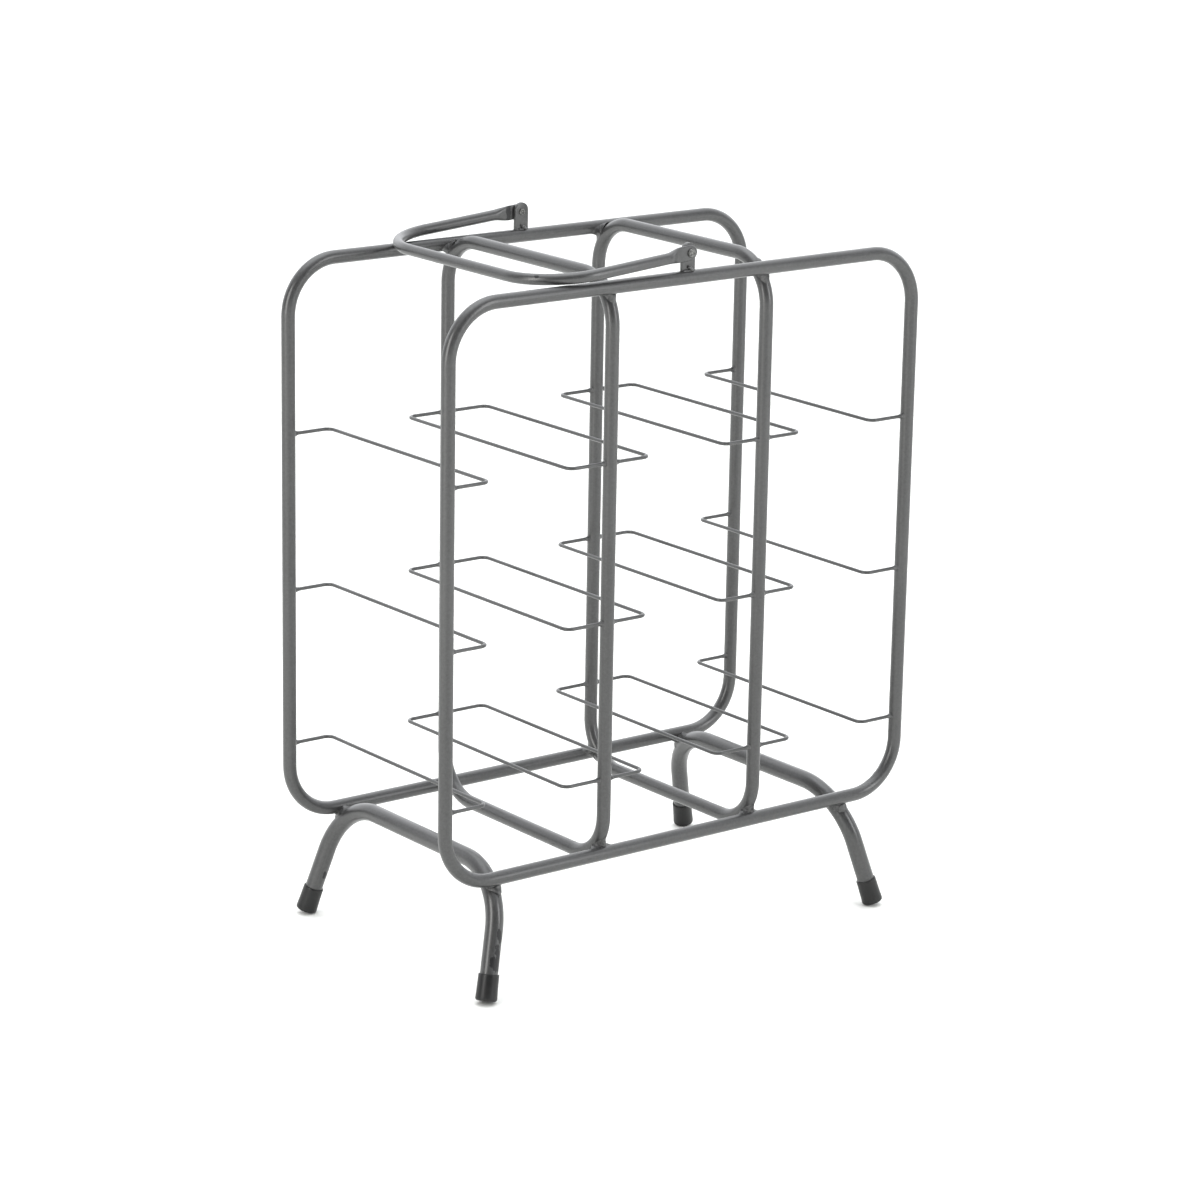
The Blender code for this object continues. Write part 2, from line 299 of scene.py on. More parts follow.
def new_material(name):
    """Returns a material, its node tree, its shader and the object's own coordinates."""
    material = bpy.data.materials.new(name)
    material.use_nodes = True
    tree = material.node_tree
    coords = tree.nodes.new("ShaderNodeTexCoord").outputs["Object"]
    return material, tree, tree.nodes["Principled BSDF"], coords


def add_bump(tree, shader, height, distance):
    """Bends the shader's normal by a height, of which 1 stands for a distance in metres."""
    bump = node(tree, "ShaderNodeBump", Strength=1.0, Distance=distance)
    tree.links.new(height, bump.inputs["Height"])
    tree.links.new(bump.outputs["Normal"], shader.inputs["Normal"])


def chip_mask(tree, coords, marks):
    """Returns a mask that is 1 inside ragged spots, each a (centre, half sizes) pair."""
    ragged = noise_at(tree, coords, 420.0, 3.0, 0.6)
    total = None
    for centre, half_sizes in marks:
        moved = node(tree, "ShaderNodeVectorMath", operation="SUBTRACT")
        moved.inputs[1].default_value = centre
        tree.links.new(coords, moved.inputs[0])
        scaled = node(tree, "ShaderNodeVectorMath", operation="DIVIDE")
        scaled.inputs[1].default_value = half_sizes
        tree.links.new(moved.outputs["Vector"], scaled.inputs[0])
        length = node(tree, "ShaderNodeVectorMath", operation="LENGTH")
        tree.links.new(scaled.outputs["Vector"], length.inputs[0])
        rough_edge = combine(tree, "MULTIPLY", ragged, 1.3)
        spread = combine(tree, "ADD", length.outputs["Value"], rough_edge)
        spot = remap(tree, spread, 1.45, 1.62, 1.0, 0.0)
        total = spot if total is None else combine(tree, "MAXIMUM", total, spot)
    return total


def streaks(tree):
    """Faint bands that run along a tube, from the way it was drawn and sprayed."""
    grain = node(tree, "ShaderNodeAttribute", attribute_name="grain")
    return noise_at(tree, grain.outputs["Vector"], 2.6, 4.0, 0.65, (1.0, 1.0, 1.6))


def paint(name, marks=(), scratches=()):
    """Satin grey metallic enamel: mottle, orange peel, pale scratches, and dark marks that are
    chips to the black, or painted shade where a piece asks for it.
    """
    material, tree, shader, coords = new_material(name)
    broad = remap(tree, noise_at(tree, coords, 14.0), 0.3, 0.7, 0.0, 1.0)
    bands = remap(tree, streaks(tree), 0.35, 0.65, 0.0, 1.0)
    mottle = remap(tree, noise_at(tree, coords, 520.0, 4.0, 0.6), 0.3, 0.7, 0.0, 1.0)
    mixed = combine(tree, "MULTIPLY", combine(tree, "ADD", broad, bands), 0.5)
    base = mix_colours(tree, mixed, (0.055, 0.055, 0.055), (0.076, 0.076, 0.076))
    flecks = combine(tree, "MULTIPLY", mottle, 0.45)
    base = mix_colours(tree, flecks, base, (0.104, 0.104, 0.104))
    rough = remap(tree, mottle, 0.0, 1.0, 0.33, 0.41)
    height = combine(tree, "MULTIPLY", noise_at(tree, coords, 900.0, 2.0), 0.35)
    height = combine(tree, "ADD", height, noise_at(tree, coords, 210.0, 2.0))
    if scratches:
        mask = chip_mask(tree, coords, scratches)
        base = mix_colours(tree, mask, base, (0.50, 0.50, 0.49))
        height = combine(tree, "SUBTRACT", height, mask)
    # Dark marks: chips through the paint to the black, and on the handle a band of painted shade
    # beside the rear tab.
    if marks:
        mask = chip_mask(tree, coords, marks)
        base = mix_colours(tree, mask, base, (0.016, 0.016, 0.017))
        rough = combine(tree, "ADD", rough, combine(tree, "MULTIPLY", mask, 0.15))
        height = combine(tree, "SUBTRACT", height, combine(tree, "MULTIPLY", mask, 1.5))
    tree.links.new(base, shader.inputs["Base Color"])
    tree.links.new(rough, shader.inputs["Roughness"])
    shader.inputs["Metallic"].default_value = 0.55
    shader.inputs["Coat Weight"].default_value = 0.35
    shader.inputs["Coat Roughness"].default_value = 0.24
    add_bump(tree, shader, height, 0.00006)
    return material


def weld_paint(name):
    """The same enamel over weld metal: lumpier, with soot in the hollows."""
    material, tree, shader, coords = new_material(name)
    lumps = noise_at(tree, coords, 700.0, 3.0, 0.6)
    soot = remap(tree, noise_at(tree, coords, 260.0, 3.0), 0.30, 0.52, 0.0, 1.0)
    base = mix_colours(tree, soot, (0.030, 0.030, 0.030), (0.110, 0.110, 0.110))
    tree.links.new(base, shader.inputs["Base Color"])
    tree.links.new(remap(tree, lumps, 0.3, 0.7, 0.34, 0.5), shader.inputs["Roughness"])
    shader.inputs["Metallic"].default_value = 0.5
    add_bump(tree, shader, lumps, 0.0003)
    return material


def bare_steel(name):
    """Turned rivet steel with a thin film of grey paint, worn bright on the high spots."""
    material, tree, shader, coords = new_material(name)
    worn = remap(tree, noise_at(tree, coords, 900.0, 3.0), 0.42, 0.6, 0.0, 1.0)
    base = mix_colours(tree, worn, (0.095, 0.095, 0.094), (0.21, 0.21, 0.20))
    tree.links.new(base, shader.inputs["Base Color"])
    tree.links.new(remap(tree, worn, 0.0, 1.0, 0.44, 0.32), shader.inputs["Roughness"])
    shader.inputs["Metallic"].default_value = 0.85
    add_bump(tree, shader, noise_at(tree, coords, 1300.0, 2.0), 0.00005)
    return material


def rubber(name):
    """Black moulded rubber with a dull bloom and a fine grain."""
    material, tree, shader, coords = new_material(name)
    bloom = remap(tree, noise_at(tree, coords, 90.0, 3.0), 0.35, 0.65, 0.0, 1.0)
    grain = noise_at(tree, coords, 1500.0, 2.0)
    base = mix_colours(tree, bloom, (0.007, 0.007, 0.007), (0.013, 0.013, 0.013))
    tree.links.new(base, shader.inputs["Base Color"])
    tree.links.new(remap(tree, bloom, 0.0, 1.0, 0.36, 0.46), shader.inputs["Roughness"])
    shader.inputs["Specular IOR Level"].default_value = 0.4
    add_bump(tree, shader, grain, 0.00008)
    return material


# ---- tubes and wires ------------------------------------------------------------------------
def rectangle(centre, half_across, half_up, across):
    """Returns the corners of an upright rectangle, in turn."""
    signs = ((-1, -1), (1, -1), (1, 1), (-1, 1))
    return [centre + across * half_across * u + Z_AXIS * half_up * v for u, v in signs]


def frame_path(end):
    """The axis of the front or rear frame."""
    centre = Vector((0, end * HALF_DEPTH, MID_Z))
    return rounded_path(rectangle(centre, HALF_WIDTH, TOP_Z - MID_Z, X_AXIS), FRAME_BEND, True)


def cross_path(name):
    """The axis of a cross frame, from its CAD box."""
    low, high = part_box(name)
    centre = (low + high) / 2
    half_up = (high.z - low.z - FRAME_TUBE) / 2
    half_across = (high.y - low.y - FRAME_TUBE) / 2
    return rounded_path(rectangle(centre, half_across, half_up, Y_AXIS), CROSS_BEND, True)


def tube(name, path, normal, diameter, closed, material, sides=TUBE_SIDES):
    """A round tube along a flat path, in place of the CAD node of the same name."""
    path = subdivided(path, closed, 0.02)
    bm = bmesh.new()
    sections = [circle(diameter / 2, sides)] * len(path)
    skin(bm, swept_rings(path, normal, sections, closed), closed)
    return make_piece(name + "_tube", bm, material, "rack", [name])


def build_frames():
    for name, end in (("front_frame", -1), ("rear_frame", 1)):
        tube(name, frame_path(end), Y_AXIS, FRAME_TUBE, True, paint(name + "_paint"))
    for name in ("left_cross_frame", "right_cross_frame"):
        tube(name, cross_path(name), X_AXIS, FRAME_TUBE, True, paint(name + "_paint"))


def wire_nodes():
    """Yields each wire's name and the side of its column it hangs on, -1 left or 1 right."""
    for column in ("left", "middle", "right"):
        for side_name, side in (("left", -1), ("right", 1)):
            for row in (1, 2, 3):
                yield f"wire_{column}_column_{side_name}_row{row}", side


def wire_ends(name, side):
    """Returns the x of the post a wire starts from, the x of its long run, and its height."""
    low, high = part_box(name)
    post = low.x - FRAME_TUBE / 2 if side < 0 else high.x + FRAME_TUBE / 2
    run = high.x - WIRE / 2 if side < 0 else low.x + WIRE / 2
    return post, run, (low.z + high.z) / 2


def build_wires(material):
    for name, side in wire_nodes():
        post, run, height = wire_ends(name, side)
        start = post - side * FRAME_TUBE * 0.42
        corners = [
            Vector((start, -HALF_DEPTH, height)),
            Vector((run, -HALF_DEPTH, height)),
            Vector((run, HALF_DEPTH, height)),
            Vector((start, HALF_DEPTH, height)),
        ]
        path = rounded_path(corners, WIRE_BEND, False, 9)
        tube(name, path, Z_AXIS, WIRE, False, material, WIRE_SIDES)


# ---- legs and feet --------------------------------------------------------------------------
def leg_corner(side, end):
    """The point where a leg's top line meets the line of one of its feet."""
    low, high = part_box("left_leg" if side < 0 else "right_leg")
    inner = high.x - LEG_TUBE / 2 if side < 0 else low.x + LEG_TUBE / 2
    return Vector((inner, end * LEG_HALF, high.z - LEG_TUBE / 2))


def leg_slope(side, end):
    """The direction that a foot runs in, downwards."""
    return Vector((side * LEG_SPREAD_X, end * LEG_SPREAD_Y, -1)).normalized()


def leg_point(side, end, height):
    """The point of a foot's axis at a height above the floor."""
    corner, slope = leg_corner(side, end), leg_slope(side, end)
    return corner - slope * (corner.z - height) / slope.z


def foot_point(side, end):
    """The middle of a cap's underside, which is square to the leg and rests on its rim."""
    slope = leg_slope(side, end)
    return leg_point(side, end, CAP_REST * math.hypot(slope.x, slope.y))


def leg_path(side):
    tips = [foot_point(side, end) - leg_slope(side, end) * CAP_FLOOR for end in (-1, 1)]
    corners = [tips[0], leg_corner(side, -1), leg_corner(side, 1), tips[1]]
    return rounded_path(corners, LEG_BEND, False)


def build_leg(name, side, material):
    down = Vector((side * LEG_SPREAD_X, 0, -1)).normalized()
    tube(name, leg_path(side), Y_AXIS.cross(down), LEG_TUBE, False, material)


def build_cap(name, side, end, material):
    """A rubber cup with a rolled lower edge and a thin rim, square to the leg."""
    profile = [(CAP_RADIUS * 0.02, 0.0006), (CAP_RADIUS * 0.5, 0.0006), (CAP_RADIUS * 0.56, 0.0)]
    for step in range(7):
        angle = math.pi / 2 * step / 6
        radius = CAP_RADIUS + CAP_FLARE - CAP_EDGE * (1 - math.sin(angle))
        profile.append((radius, CAP_EDGE * (1 - math.cos(angle))))
    for step in range(1, 9):
        share = step / 8
        swell = CAP_FLARE * (1 - share) ** 1.5
        profile.append((CAP_RADIUS + swell, CAP_EDGE + (CAP_LENGTH - CAP_EDGE - 0.0006) * share))
    profile.append((CAP_RADIUS - 0.0001, CAP_LENGTH - 0.0002))
    profile.append((CAP_RADIUS - 0.0003, CAP_LENGTH))
    profile.append((LEG_TUBE / 2 + 0.0001, CAP_LENGTH - 0.0001))
    profile.append((LEG_TUBE / 2 + 0.0001, CAP_FLOOR))
    bm = bmesh.new()
    skin(bm, turned_rings(profile, foot_point(side, end), -leg_slope(side, end)))
    make_piece(name + "_rubber", bm, material, "rack", [name])


def skin_point(axis_point, slope, turn):
    """A point on a leg's skin, turned about its axis by degrees from the side that faces -Y."""
    front = -Y_AXIS
    facing = front - slope * front.dot(slope)
    out = Matrix.Rotation(math.radians(turn), 3, slope) @ facing.normalized()
    return axis_point + out * LEG_TUBE / 2


def bend_point(side, end, height, turn):
    """The point of a leg's skin at a height on its bent part, just below the frame."""
    points = subdivided(leg_path(side), False, 0.002)
    below = [index for index in range(1, len(points) - 1) if points[index].y * end > 0.05]
    index = min(below, key=lambda place: abs(points[place].z - height))
    slope = (points[index + 1] - points[index - 1]).normalized()
    return skin_point(points[index], slope if slope.z < 0 else -slope, turn)


def leg_chips(side, end, spots):
    """Places chips on a foot, each (height, turn about the foot, half width, half length)."""
    marks = []
    for height, turn, half_width, half_length in spots:
        centre = skin_point(leg_point(side, end, height), leg_slope(side, end), turn)
        marks.append((centre, (half_width, half_width, half_length)))
    return marks


def build_legs():
    front_spots = (
        (0.0470, -7, 0.0025, 0.0060),
        (0.0345, -10, 0.0028, 0.0080),
        (0.0275, -16, 0.0026, 0.0070),
        (0.0290, 22, 0.0027, 0.0060),
        (0.0262, 8, 0.0022, 0.0044),
    )
    rear_spots = ((0.0325, -10, 0.0022, 0.0034),)
    marks = leg_chips(-1, -1, front_spots) + leg_chips(-1, 1, rear_spots)
    build_leg("left_leg", -1, paint("left_leg_paint", marks))
    build_leg("right_leg", 1, paint("right_leg_paint"))
    black = rubber("cap_rubber")
    for side_name, side in (("left", -1), ("right", 1)):
        for end_name, end in (("front", -1), ("rear", 1)):
            build_cap(f"foot_cap_{side_name}_{end_name}", side, end, black)


# ---- handle ---------------------------------------------------------------------------------
def stadium(half_thickness, half_height, offset):
    """A flattened round section: two half circles moved apart along the up direction."""
    stretch = half_height - half_thickness
    return [
        (u + offset, v + math.copysign(stretch, v))
        for u, v in circle(half_thickness, TUBE_SIDES, 0.5)
    ]


def lug_section(distance):
    """The handle's section at a distance from the pivot, negative past the pivot."""
    blend = min(max((distance - LUG_FLAT) / LUG_TAPER, 0.0), 1.0)
    blend = blend * blend * (3 - 2 * blend)
    half_thickness = LUG_THICKNESS / 2 + (HANDLE_TUBE - LUG_THICKNESS) / 2 * blend
    half_height = LUG_HEIGHT / 2 + (HANDLE_TUBE - LUG_HEIGHT) / 2 * blend
    if distance < 0:
        half_height = math.sqrt(max(half_height ** 2 - distance ** 2, 0.0))
    half_thickness = min(half_thickness, half_height)
    offset = (HANDLE_ARM_Y - LUG_Y) * (1 - blend)
    return stadium(half_thickness, half_height, offset)


def pivot_hole(piece):
    """Cuts the rivet holes out of a piece, and leaves a plain smooth mesh."""
    bm = bmesh.new()
    depth = HALF_DEPTH * 2.6
    profile = [(PIN / 2 + PIN_GAP, -depth / 2), (PIN / 2 + PIN_GAP, depth / 2)]
    skin(bm, turned_rings(profile, PIVOT, Y_AXIS, 24))
    bmesh.ops.recalc_face_normals(bm, faces=bm.faces)
    cutter = bpy.data.objects.new("pivot_cutter", mesh_from("pivot_cutter", bm))
    bpy.context.scene.collection.objects.link(cutter)
    hole = piece.modifiers.new("pivot_hole", "BOOLEAN")
    hole.operation = "DIFFERENCE"
    hole.solver = "EXACT"
    hole.object = cutter
    bpy.context.view_layer.update()
    seen = piece.evaluated_get(bpy.context.evaluated_depsgraph_get())
    cut_mesh = bpy.data.meshes.new_from_object(seen)
    piece.modifiers.clear()
    piece.data = cut_mesh
    bpy.data.objects.remove(cutter)
    smooth(piece.data)


def tab_planes():
    """The y of the middle of each tab, front and rear."""
    planes = []
    for name in ("handle_tab_front", "handle_tab_rear"):
        low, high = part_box(name)
        planes.append((low.y + high.y) / 2)
    return planes


def handle_out():
    """The direction that the handle's arms run in, away from the pivot."""
    return Vector((-math.cos(HANDLE_DROP), 0, -math.sin(HANDLE_DROP)))


def lug_distances():
    """Distances from the pivot to the sections of a flat end, from its tip to the round tube."""
    angles = (83, 74, 64, 53, 41, 28, 14)
    tip = [-LUG_HEIGHT / 2 * math.sin(math.radians(angle)) for angle in angles]
    taper = [LUG_FLAT + LUG_TAPER * step / 14 for step in range(1, 15)]
    return tip + [0.0, LUG_FLAT / 2, LUG_FLAT] + taper


def handle_rings():
    """The handle's sections, from the tip of the front arm round to the tip of the rear one."""
    out = handle_out()
    tips = [PIVOT - Y_AXIS * HANDLE_ARM_Y, PIVOT + Y_AXIS * HANDLE_ARM_Y]
    corners = [tips[0], tips[0] + out * HANDLE_REACH, tips[1] + out * HANDLE_REACH, tips[1]]
    bend = rounded_path(corners, HANDLE_BEND, False)[1:-1]
    distances = lug_distances()
    near = [tips[0] + out * distance for distance in distances]
    far = [tips[1] + out * distance for distance in reversed(distances)]
    ends = [lug_section(distance) for distance in distances]
    middle = [circle(HANDLE_TUBE / 2, TUBE_SIDES, 0.5)] * len(bend)
    sections = ends + middle + ends[::-1]
    return swept_rings(near + bend + far, Y_AXIS.cross(out), sections, False)


def handle_paint():
    """The enamel with a band of painted shade beside the rear tab, and a knock on the front bend.
    """
    out = handle_out()
    turn = Matrix.Rotation(math.radians(-57.5), 3, Y_AXIS.cross(out))
    front_tip = PIVOT - Y_AXIS * HANDLE_ARM_Y
    bend_centre = front_tip + out * (HANDLE_REACH - HANDLE_BEND) + Y_AXIS * HANDLE_BEND
    knock = bend_centre + turn @ -Y_AXIS * HANDLE_BEND
    knock += Vector((-0.5, -0.7, 0.45)).normalized() * HANDLE_TUBE / 2
    # Painted shade: a dark band on the rear lug's inner face where it runs behind the tab, given
    # as a chip.
    tab_shade = Vector((PIVOT.x - 0.0102, TAB_HIGH.y + LUG_GAP, PIVOT.z))
    marks = [
        (tab_shade, (0.0024, 0.0012, 0.0090)),
        (knock + Z_AXIS * 0.0006, (0.0019, 0.0019, 0.0011)),
    ]
    scratches = [
        (knock + X_AXIS * 0.0030 - Z_AXIS * 0.0006, (0.0028, 0.0028, 0.0013)),
        (knock - X_AXIS * 0.0035 - Z_AXIS * 0.0004, (0.0026, 0.0026, 0.0015)),
    ]
    return paint("handle_paint", marks, scratches)


def build_handle():
    """A bent tube with its ends pressed flat and rounded about the pivot."""
    bm = bmesh.new()
    skin(bm, handle_rings())
    pivot_hole(make_piece("handle_tube", bm, handle_paint(), "handle", ["handle"]))


def build_tab(name, material):
    """An upright plate with a round top about the pivot and softened edges."""
    low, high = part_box(name)
    middle = (low.x + high.x) / 2
    half_width = (high.x - low.x) / 2
    shoulder = high.z - half_width
    outline = [(low.x, low.z - 0.0012), (high.x, low.z - 0.0012)]
    for step in range(25):
        angle = math.pi * step / 24
        across = math.cos(angle) * half_width
        outline.append((middle + across, shoulder + math.sin(angle) * half_width))
    bm = bmesh.new()
    plate = bm.faces.new([bm.verts.new((x, low.y, z)) for x, z in outline])
    grown = bmesh.ops.extrude_face_region(bm, geom=[plate])
    moved = [item for item in grown["geom"] if isinstance(item, bmesh.types.BMVert)]
    bmesh.ops.translate(bm, verts=moved, vec=(0, high.y - low.y, 0))
    bmesh.ops.recalc_face_normals(bm, faces=bm.faces)
    rims = [edge for edge in bm.edges if edge.calc_face_angle(0) > math.radians(50)]
    bmesh.ops.bevel(bm, geom=rims, offset=0.0004, segments=3, profile=0.5, affect="EDGES")
    pivot_hole(make_piece(name + "_plate", bm, material, "rack", [name]))


def build_rivet(name, end, material):
    """A semi-tubular rivet: a low head with a dimple outside, a rolled ring inside."""
    low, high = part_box(name)
    centre = Vector((PIVOT.x, 0, PIVOT.z))
    outer, inner = (low.y, high.y) if end < 0 else (high.y, low.y)
    head = 0.0032            # radii
    tail = 0.0025
    head_y = outer - end * 0.0014
    tail_y = inner + end * 0.0009
    profile = [
        (head * 0.12, outer - end * 0.0007),
        (head * 0.30, outer - end * 0.00065),
        (head * 0.46, outer - end * 0.0003),
        (head * 0.60, outer - end * 0.00003),
        (head * 0.72, outer),
        (head * 0.86, outer - end * 0.00025),
        (head * 0.96, outer - end * 0.0007),
        (head, head_y + end * 0.0003),
        (head * 0.99, head_y),
        (PIN / 2, head_y),
        (PIN / 2, tail_y),
        (tail * 0.98, tail_y),
        (tail, tail_y - end * 0.0003),
        (tail * 0.92, tail_y - end * 0.0007),
        (tail * 0.76, inner),
        (tail * 0.60, inner + end * 0.0001),
        (tail * 0.48, inner + end * 0.0005),
        (tail * 0.30, inner + end * 0.0008),
        (tail * 0.10, inner + end * 0.00085),
    ]
    bm = bmesh.new()
    skin(bm, turned_rings(profile, centre, Y_AXIS, 32))
    make_piece(name + "_steel", bm, material, "rack", [name], 50.0)


def build_pivots():
    steel = bare_steel("rivet_steel")
    for end_name, end in (("front", -1), ("rear", 1)):
        build_tab("handle_tab_" + end_name, paint("handle_tab_" + end_name + "_paint"))
        build_rivet("rivet_" + end_name, end, steel)


# ---- welds ----------------------------------------------------------------------------------
def closest_points(first_path, second_path):
    """Returns the closest pair of points of two paths, with the paths' directions there."""
    best = None
    for one_index in range(1, len(first_path) - 1):
        one = first_path[one_index]
        for two_index in range(1, len(second_path) - 1):
            gap = (one - second_path[two_index]).length
            if best is None or gap < best[0]:
                best = (gap, one_index, two_index)
    _, one_index, two_index = best
    one_way = (first_path[one_index + 1] - first_path[one_index - 1]).normalized()
    two_way = (second_path[two_index + 1] - second_path[two_index - 1]).normalized()
    return first_path[one_index], one_way, second_path[two_index], two_way


def lump(point, size, seed):
    """A small smooth unevenness, from -1 to 1, at a point."""
    return noise.noise(point / size + Vector((seed * 7.3, seed * 3.1, seed * 5.7)))


def oval(angle, half_first, half_second):
    """The radius of an ellipse in a direction."""
    return 1 / math.hypot(math.cos(angle) / half_first, math.sin(angle) / half_second)


def fillet(bm, contact, first_radius, second_radius, reach, seed):
    """Weld metal that fills the corners all round two crossing tubes and runs along both."""
    one, one_way, two, two_way = contact
    across = two - one
    depth = across.length
    across.normalize()
    first = (one_way - across * one_way.dot(across)).normalized()
    second = across.cross(first)
    other = (two_way - across * two_way.dot(across)).normalized()
    core = 0.92 * min(first_radius, second_radius)
    levels = 16
    hollow = 2.2
    sunk = 0.0003
    rings = []
    for level in range(levels + 1):
        share = level / levels
        ring = []
        for step in range(64):
            angle = 2 * math.pi * step / 64
            direction = first * math.cos(angle) + second * math.sin(angle)
            on_first = oval(angle, reach + first_radius, first_radius * 0.90)
            on_second = oval(angle, second_radius * 0.95, reach + second_radius)
            spread = core + (on_first - core) * (1 - share) ** hollow
            spread += (on_second - core) * share ** hollow
            swell = lump(one + direction * spread + across * depth * share, 0.0032, seed)
            flat = direction * spread * (1 + 0.07 * swell)
            off_one = (flat - first * flat.dot(first)).length
            off_two = (flat - other * flat.dot(other)).length
            low = math.sqrt(max(first_radius ** 2 - off_one ** 2, 0)) - sunk
            high = depth - math.sqrt(max(second_radius ** 2 - off_two ** 2, 0)) + sunk
            ring.append(one + flat + across * (low + (high - low) * share))
        rings.append(ring)
    skin(bm, rings)


def build_tube_welds(material):
    """Fillets where the cross frames and the legs meet the two frames."""
    bm = bmesh.new()
    seed = 1
    for end in (-1, 1):
        beams = subdivided(frame_path(end), True, 0.002)
        for name in ("left_cross_frame", "right_cross_frame"):
            path = cross_path(name)
            for half in (-1, 1):
                near = [p for p in path if p.y * end > 0.04 and (p.z - MID_Z) * half > 0.1]
                some = [p for p in beams if (p.z - MID_Z) * half > 0.2 and abs(p.x) < 0.15]
                contact = closest_points(some, near)
                fillet(bm, contact, FRAME_TUBE / 2, FRAME_TUBE / 2, CROSS_WELD, seed)
                seed += 1
        for side in (-1, 1):
            path = subdivided(leg_path(side), False, 0.003)
            near = [p for p in path if p.y * end > 0.02]
            some = [p for p in beams if p.z < MID_Z - 0.2 and abs(p.x - side * 0.15) < 0.03]
            contact = closest_points(some, near)
            fillet(bm, contact, FRAME_TUBE / 2, LEG_TUBE / 2, LEG_WELD, seed)
            seed += 1
    make_piece("tube_welds", bm, material, "rack")


def wire_weld(bm, post, side, height, seed):
    """A small flared lump where a wire's end meets the side of a post."""
    rings = []
    sunk = 0.0014
    for level in range(13):
        share = level / 12
        along = FRAME_TUBE / 2 - sunk + (WIRE_WELD + sunk) * share
        radius = WIRE / 2 * 0.96 + 0.00135 * (1 - share) ** 1.7
        ring = []
        for u, v in circle(1.0, 20):
            point = Vector((post.x - side * along, post.y + u * radius, height + v * radius))
            swell = 1 + 0.28 * (1 - share) * lump(point, 0.0016, seed)
            point.y = post.y + u * radius * swell
            point.z = height + v * radius * swell * 1.08
            ring.append(point)
        rings.append(ring)
    skin(bm, rings)


def build_wire_welds(material):
    bm = bmesh.new()
    seed = 20
    for name, side in wire_nodes():
        post, _, height = wire_ends(name, side)
        for end in (-1, 1):
            wire_weld(bm, Vector((post, end * HALF_DEPTH, 0)), side, height, seed)
            seed += 1
    make_piece("wire_welds", bm, material, "rack")


def blob(bm, centre, along, length, size, seed):
    """A drop of weld metal, longer along one direction."""
    rings = []
    side = along.orthogonal().normalized()
    up = along.cross(side)
    for level in range(15):
        share = level / 14 * 2 - 1
        radius = size * math.sqrt(max(1 - share * share, 0.004))
        middle = centre + along * length * share
        ring = []
        for u, v in circle(1.0, 18):
            out = (side * u + up * v) * radius
            swell = 1 + 0.35 * lump(middle + out, size * 1.3, seed)
            ring.append(middle + out * swell)
        rings.append(ring)
    skin(bm, rings)


def build_spatter(material):
    """Painted-over drops of weld metal beside some of the welds."""
    bm = bmesh.new()
    left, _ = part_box("left_cross_frame")
    corner = Vector((left.x + FRAME_TUBE / 2, HALF_DEPTH - 0.0098, TOP_Z + 0.0030))
    for dx, dy, dz, length, size in (
        (-0.0010, -0.0012, 0.0010, 0.0022, 0.0015),
        (0.0018, -0.0002, -0.0012, 0.0011, 0.0010),
        (-0.0042, 0.0008, 0.0004, 0.0008, 0.0008),
    ):
        blob(bm, corner + Vector((dx, dy, dz)), Vector((0.8, 0, -0.6)), length, size, 90)
    blob(bm, bend_point(-1, -1, 0.0745, 4), Z_AXIS, 0.0024, 0.0018, 91)
    blob(bm, bend_point(-1, -1, 0.0705, -4), Z_AXIS, 0.0009, 0.0008, 92)
    blob(bm, bend_point(1, -1, 0.0745, 8), Z_AXIS, 0.0016, 0.0013, 93)
    for plane in tab_planes():
        front = plane - TAB_HALF
        drop = Vector((PIVOT.x + 0.0014, front - 0.0009, TOP_Z + FRAME_TUBE / 2 + 0.0012))
        blob(bm, drop, Vector((0.75, 0, -0.66)), 0.0034, 0.0013, 80)
    make_piece("weld_spatter", bm, material, "rack")


def build_tab_welds(material):
    """A rippled bead along the foot of each tab, on both of its faces."""
    bm = bmesh.new()
    seed = 70
    for plane in tab_planes():
        for face in (-1, 1):
            rings = []
            offset = face * TAB_HALF
            foot = TOP_Z + math.sqrt((FRAME_TUBE / 2) ** 2 - offset ** 2)
            for level in range(25):
                share = level / 24 * 2 - 1
                along = share * TAB_WELD
                size = 0.00125 * math.sqrt(max(1 - abs(share) ** 3, 0.02))
                ripple = 0.16 * math.sin(along / 0.00042)
                swell = 0.25 * lump(Vector((along, plane, 0)), 0.002, seed)
                size *= 1 + ripple + swell
                centre = Vector((PIVOT.x + along, plane + offset, foot))
                rings.append([centre + Vector((0, u, v)) for u, v in circle(size, 16)])
            skin(bm, rings)
            seed += 1
    make_piece("tab_welds", bm, material, "rack")


def build_welds():
    material = weld_paint("weld_paint")
    build_tube_welds(material)
    build_wire_welds(material)
    build_tab_welds(material)
    build_spatter(paint("weld_drop_paint"))


# ---- stage ----------------------------------------------------------------------------------
def build_floor():
    """A wide pale sheet that the rack stands on."""
    bm = bmesh.new()
    bmesh.ops.create_grid(bm, x_segments=24, y_segments=24, size=FLOOR_HALF)
    mesh = mesh_from("floor", bm)
    material, tree, shader, coords = new_material("floor_paper")
    tone = remap(tree, noise_at(tree, coords, 1.5, 2.0), 0.3, 0.7, 0.0, 1.0)
    base = mix_colours(tree, tone, (0.90, 0.90, 0.87), (0.92, 0.92, 0.89))
    tree.links.new(base, shader.inputs["Base Color"])
    shader.inputs["Roughness"].default_value = 0.9
    mesh.materials.append(material)
    floor = bpy.data.objects.new("floor", mesh)
    bpy.context.scene.collection.objects.link(floor)


def area_light(name, place, target, width, height, power, colour):
    """A soft panel that faces a point."""
    data = bpy.data.lights.new(name, "AREA")
    data.shape = "RECTANGLE"
    data.size = width
    data.size_y = height
    data.energy = power
    data.color = colour
    light = bpy.data.objects.new(name, data)
    light.location = place
    light.rotation_euler = (Vector(target) - Vector(place)).to_track_quat("-Z", "Y").to_euler()
    bpy.context.scene.collection.objects.link(light)


